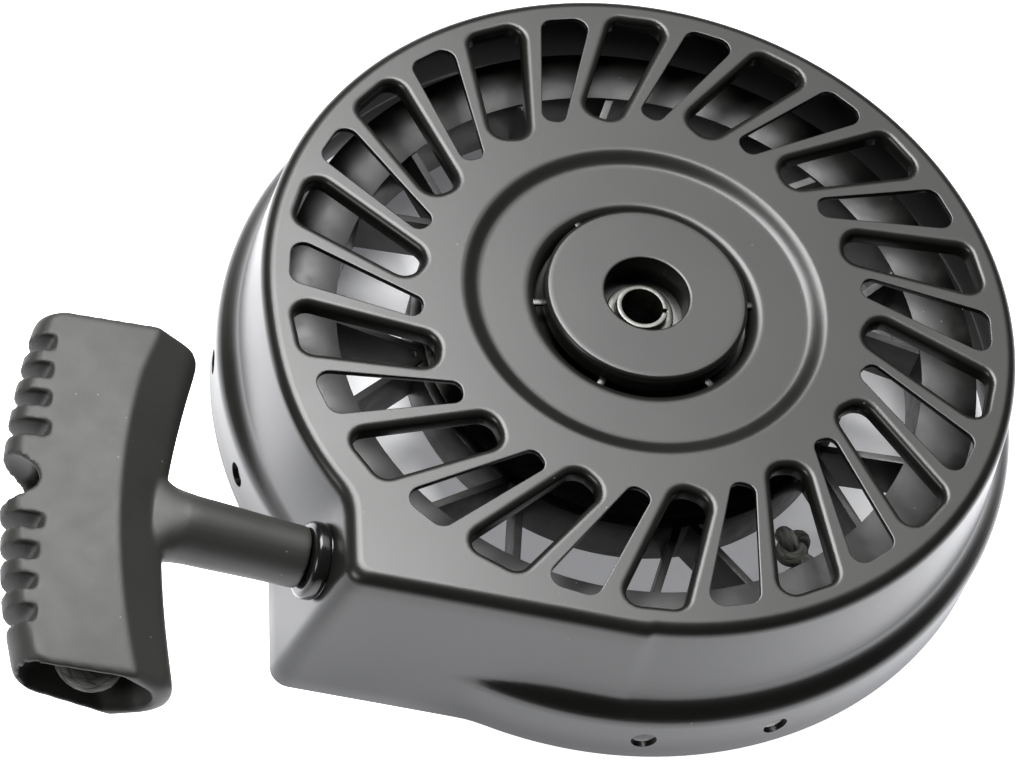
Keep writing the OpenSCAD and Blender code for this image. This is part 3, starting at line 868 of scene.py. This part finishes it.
# the flare spreads along the bar but gets thinner, so that it sinks into the finger side
STEM_R, FLARE_FROM = 7.9 * MM, 33
for vertex in stem.data.vertices:
    across = math.hypot(vertex.co.y, vertex.co.z)
    if across > STEM_R:
        vertex.co.z *= (STEM_R + 0.12 * (across - STEM_R)) / across
    vertex.co.z *= 1 - 0.055 * max(vertex.co.x / MM - FLARE_FROM, 0)
for cutter, how in [(stem, "UNION"), (cut, "DIFFERENCE")] + [(c, "DIFFERENCE") for c in cuts]:
    apply(bar, "BOOLEAN", object=cutter, operation=how, solver="EXACT")
    bpy.data.objects.remove(cutter)
bpy.ops.mesh.primitive_cylinder_add(vertices=32, radius=2.7 * MM, depth=56 * MM)
bore = bpy.context.object
settle(bore, Matrix.Translation(mm(28, 0, 0)) @ Matrix.Rotation(math.pi / 2, 4, "Y"))
apply(bar, "BOOLEAN", object=bore, operation="DIFFERENCE", solver="EXACT")
bpy.data.objects.remove(bore)
apply(bar, "REMESH", mode="VOXEL", voxel_size=0.62 * MM, use_smooth_shade=True)
apply(bar, "SMOOTH", factor=0.5, iterations=3)
settle(bar, handle_frame())
bar.name = "grip_handle"
paint(bar, handle_plastic)
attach(bar, "handle")
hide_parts("handle")
print("grip faces:", len(bar.data.polygons))


# %% [markdown]
# ## The rope
# The starter rope is a hollow braid. Each stretch is a round tube on a smooth path whose map runs
# round it and along it in metres, so that the braid keeps the same size everywhere.


# %% Tubes along a path
def rope(name, path, radius, sides=14):
    """A tube of this radius along points in metres, closed at both ends, with its own map."""
    rings, lengths = [], [0.0]
    for a, b in zip(path, path[1:]):
        lengths.append(lengths[-1] + (b - a).length)
    side = None
    for i, p in enumerate(path):
        along = (path[min(i + 1, len(path) - 1)] - path[max(i - 1, 0)]).normalized()
        if side is None:
            side = along.cross(Vector((0, 0, 1)))
            if side.length < 0.05:
                side = along.cross(Vector((0, 1, 0)))
        side = (side - along * side.dot(along)).normalized()
        up = along.cross(side)
        end = min(i, len(path) - 1 - i)
        r = radius * (0.55 if end == 0 else 1.0)
        rings.append(
            [p + side * r * math.cos(math.tau * j / sides) + up * r * math.sin(math.tau * j / sides)
             for j in range(sides)]
        )
    piece = closed_loft(name, [[v / MM for v in ring] for ring in rings])
    layer = piece.data.uv_layers.new(name="UVMap")
    for face in piece.data.polygons:
        spots = [(piece.data.loops[k].vertex_index, k) for k in face.loop_indices]
        turn = [v % sides for v, _ in spots]
        wraps = max(turn) - min(turn) > sides / 2
        for v, k in spots:
            j = v % sides
            u = (j + sides if wraps and j < sides / 2 else j) / sides
            layer.data[k].uv = (u, lengths[v // sides])
    pick(piece)
    bpy.ops.object.shade_smooth()
    piece.data.materials.append(braid)
    return piece


ROPE_R = 2.25 * MM
COIL_R, COIL_TOP, COIL_DROP, KNOT_ANGLE = 78.3, 24.9, 4.8, -48
TURNS, STEPS = 2, 72
coil_turns = [
    mm(*polar(COIL_R, KNOT_ANGLE - 360 * i / STEPS), COIL_TOP - COIL_DROP * i / (TURNS * STEPS))
    for i in range(TURNS * STEPS + 1)
]
stub = [mm(*polar(r, KNOT_ANGLE), COIL_TOP) for r in (67.5, 70, 72.5, 75)]
coil = rope("wound_rope", stub + coil_turns[2:], ROPE_R)
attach(coil, "pulley")
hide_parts("rope_coil")
run_start, run_end = mm(-38, -78.6, 25), EYE + pull * -3 * MM
run_path = [
    run_start.lerp(run_end, i / 12) + mm(0, -0.25 * math.sin(math.pi * i / 12), 0) for i in range(13)
]
run = rope("rope_to_eyelet", run_path, ROPE_R)
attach(run, "cover")
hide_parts("rope_run")
print("turns on the pulley:", TURNS)
lead_points = [EYE + pull * (-2.5 + 14.5 * i / 12) * MM for i in range(13)]
lead = rope("rope_lead_out", lead_points, ROPE_R)
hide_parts("rope_lead")
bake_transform(lead)

# %% The knot on the pulley and the rope inside the handle
place = handle_frame()
inside = [place @ mm(s, 0, 0) for s in (12, 16, 22, 30, 38, 46, 50)]
inside_rope = rope("rope_in_handle", inside, ROPE_R)


def knot(name, at, radius, turn):
    """A stopper knot: a trefoil of rope pulled tight."""
    path = []
    for i in range(49):
        t = math.tau * i / 48
        x = math.sin(t) + 2 * math.sin(2 * t)
        y = math.cos(t) - 2 * math.cos(2 * t)
        z = -math.sin(3 * t)
        path.append(at + turn @ (Vector((x, y, z * 1.1)) * radius * 0.28))
    return rope(name, path, radius * 0.5)


handle_knot = knot("handle_knot", place @ mm(55, 2, 0), 5.2 * MM, place.to_3x3())
loop_path = [place @ mm(45.0 + 0.05 * (32 - y), y, -0.3) for y in (8, 14, 20, 26, 32)]
loop_path += [
    place @ mm(50.2 - 5.2 * math.cos(math.radians(a)), 37.2 + 5.4 * math.sin(math.radians(a)), -1.0)
    for a in range(0, 181, 15)
]
loop_path += [place @ mm(55.4, y, -0.6) for y in (32, 26, 20, 14)]
loop = rope("rope_tail", loop_path, 2.9 * MM)
join(inside_rope, handle_knot, loop)
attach(inside_rope, "handle")
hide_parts("handle_rope_end")
knot_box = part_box("pulley_rope_knot")
pulley_knot = knot("pulley_knot", (knot_box[0] + knot_box[1]) / 2, 4.1 * MM, Matrix.Rotation(0.6, 3, "Y"))
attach(pulley_knot, "pulley")
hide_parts("pulley_rope_knot")
print("rope stretches:", len([coil, run, lead, inside_rope, pulley_knot]))


# %% [markdown]
# ## The parts inside
# The pulley, its rewind spring, the post, the dogs and their plate already have the right shape.
# Each is copied, its triangles are merged back into whole faces, and every sharp edge gets the
# small radius that moulding or tumbling leaves, except on the springs, which are only shaded smooth.


# %% Softened copies
def softened(node, name, width, finish, body, angle=35):
    source = frame["nodes"][node]
    pick(source)
    piece = source.copy()
    piece.data = source.data.copy()
    piece.parent = None
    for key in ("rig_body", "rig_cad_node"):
        if key in piece:
            del piece[key]
    piece.name = name
    bpy.context.scene.collection.objects.link(piece)
    edit(piece)
    bpy.ops.mesh.select_all(action="SELECT")
    bpy.ops.mesh.remove_doubles(threshold=0.000004)
    bpy.ops.mesh.customdata_custom_splitnormals_clear()
    bpy.ops.mesh.tris_convert_to_quads()
    done()
    if width:
        soften(piece, width, angle)
    paint(piece, finish, None if width else angle)
    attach(piece, body)
    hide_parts(node)
    return piece


softened("pulley", "rope_pulley", 0.35, pulley_plastic, "pulley")
softened("spring_keeper", "spring_cover_plate", 0.15, zinc_steel, "pulley")
# the spring's inner end stops at the post, so that it clears it when the pulley turns
POST_R = 12.0
spring = softened("rewind_spring", "flat_rewind_spring", 0.0, spring_steel, "pulley")
for vertex in spring.data.vertices:
    if vertex.co.xy.length < POST_R * MM:
        vertex.co.x = -(POST_R + 0.2) * MM
softened("centre_post", "bearing_post", 0.2, zinc_steel, "cover")
softened("centre_pin", "split_pin", 0.15, zinc_steel, "cover")
softened("post_washer", "post_ring", 0.1, zinc_steel, "cover")
softened("brake_washer", "brake_ring", 0.1, zinc_steel, "cover")
softened("brake_spring", "brake_coil", 0.0, spring_steel, "cover", 60)
softened("dog_spring_1", "dog_coil_1", 0.0, spring_steel, "pulley", 60)
softened("dog_spring_2", "dog_coil_2", 0.0, spring_steel, "pulley", 60)
softened("dog_1", "starter_dog_1", 0.25, zinc_steel, "dog_1")
softened("dog_2", "starter_dog_2", 0.25, zinc_steel, "dog_2")
softened("retainer", "cam_disc", 0.15, zinc_steel, "cam_plate")
print("spring faces:", len(spring.data.polygons))

# %% [markdown]
# ## Floor, light and camera
# The starter lies on a white table whose glow is painted light: it is brightest in a ring round the
# starter and fades far off, a painted pool of light, and it is dim under the starter, a painted
# shadow. Dark gloss paint shows what it mirrors: the glow gives the walls their sheen, and three
# soft lights overhead and from the front left grey the face and leave the rounded edges dark.
# The table is one-sided, so that the starter can be seen from below too.

# %% Set the stage
bpy.ops.mesh.primitive_plane_add(size=6, location=(0, 0, 0))
floor = bpy.context.object
floor.name = "table"
floor_finish, nodes, links, shader, where = new_finish("white_table")
links.new(
    ramp(nodes, links, noise(nodes, links, where, 3, 3),
         [(0.3, (0.88, 0.88, 0.885)), (0.7, (0.9, 0.9, 0.9))]),
    shader.inputs["Base Color"],
)
shader.inputs["Roughness"].default_value = 0.6
shader.inputs["Emission Color"].default_value = (0.95, 0.955, 1.0, 1)
reach = nodes.new("ShaderNodeVectorMath")
reach.operation = "LENGTH"
links.new(where, reach.inputs[0])
# metres from the axis, and the share of the glow there: dim under the cover, a painted shadow,
# then a bright ring round it that fades far off, a painted pool of light
painted_shadow_and_glow = [(0.055, (0.12,)), (0.075, (0.05,)), (0.094, (0.05,)),
        (0.104, (1.0,)), (0.15, (0.7,)), (0.26, (0.12,))]
glow = ramp(nodes, links, reach.outputs["Value"], painted_shadow_and_glow)
TABLE_GLOW = 2.3
scaled = nodes.new("ShaderNodeMath")
scaled.operation = "MULTIPLY"
scaled.inputs[1].default_value = TABLE_GLOW
links.new(glow, scaled.inputs[0])
links.new(scaled.outputs["Value"], shader.inputs["Emission Strength"])
side = nodes.new("ShaderNodeNewGeometry")
clear = nodes.new("ShaderNodeBsdfTransparent")
either = nodes.new("ShaderNodeMixShader")
links.new(side.outputs["Backfacing"], either.inputs["Fac"])
links.new(shader.outputs["BSDF"], either.inputs[1])
links.new(clear.outputs["BSDF"], either.inputs[2])
links.new(either.outputs["Shader"], nodes["Material Output"].inputs["Surface"])
floor.data.materials.append(floor_finish)


def softbox(name, at, aim, size, power):
    lamp = bpy.data.lights.new(name, "AREA")
    lamp.shape = "RECTANGLE"
    lamp.size, lamp.size_y = size
    lamp.energy = power
    holder = bpy.data.objects.new(name, lamp)
    bpy.context.scene.collection.objects.link(holder)
    at, aim = Vector(at), Vector(aim)
    holder.matrix_world = looking_along(at - aim, at)


softbox("overhead", (0.2, 0.55, 0.9), (0, 0, 0.03), (0.7, 0.6), 3.6)
softbox("key", (-0.22, 0.35, 0.88), (-0.02, 0, 0.04), (0.54, 0.54), 15)
softbox("front_left", (-0.8, -0.5, 0.5), (0, 0, 0.02), (0.4, 0.3), 2.5)
world = bpy.data.worlds.new("studio")
bpy.context.scene.world = world
world.use_nodes = True
world.node_tree.nodes["Background"].inputs["Color"].default_value = (0.96, 0.97, 1.0, 1)
world.node_tree.nodes["Background"].inputs["Strength"].default_value = 0.03
bpy.context.scene.view_settings.view_transform = "Standard"

# %% Camera
face_centre = Vector((0, 0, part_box("cover_face")[1].z))
turn, tilt, roll = math.radians(-9), math.radians(54.38), math.radians(18.04)
right = Vector((math.cos(turn), math.sin(turn), 0))
back = Vector((math.sin(turn) * math.cos(tilt), -math.cos(turn) * math.cos(tilt), math.sin(tilt)))
up = right.cross(-back)
across = right * math.cos(roll) + up * math.sin(roll)
above = up * math.cos(roll) - right * math.sin(roll)
lens = bpy.data.cameras.new("view")
lens.lens, lens.sensor_width, lens.clip_start = 125.2, 36, 0.01
camera = bpy.data.objects.new("view", lens)
bpy.context.scene.collection.objects.link(camera)
DISTANCE, SHIFT_LEFT, SHIFT_DOWN = 0.8424, 0.0317, 0.0202
spot = face_centre + back * DISTANCE - across * SHIFT_LEFT - above * SHIFT_DOWN
camera.matrix_world = Matrix.Translation(spot) @ Matrix((across, above, back)).transposed().to_4x4()
bpy.context.scene.camera = camera
print("camera stands at:", [round(v, 3) for v in spot])
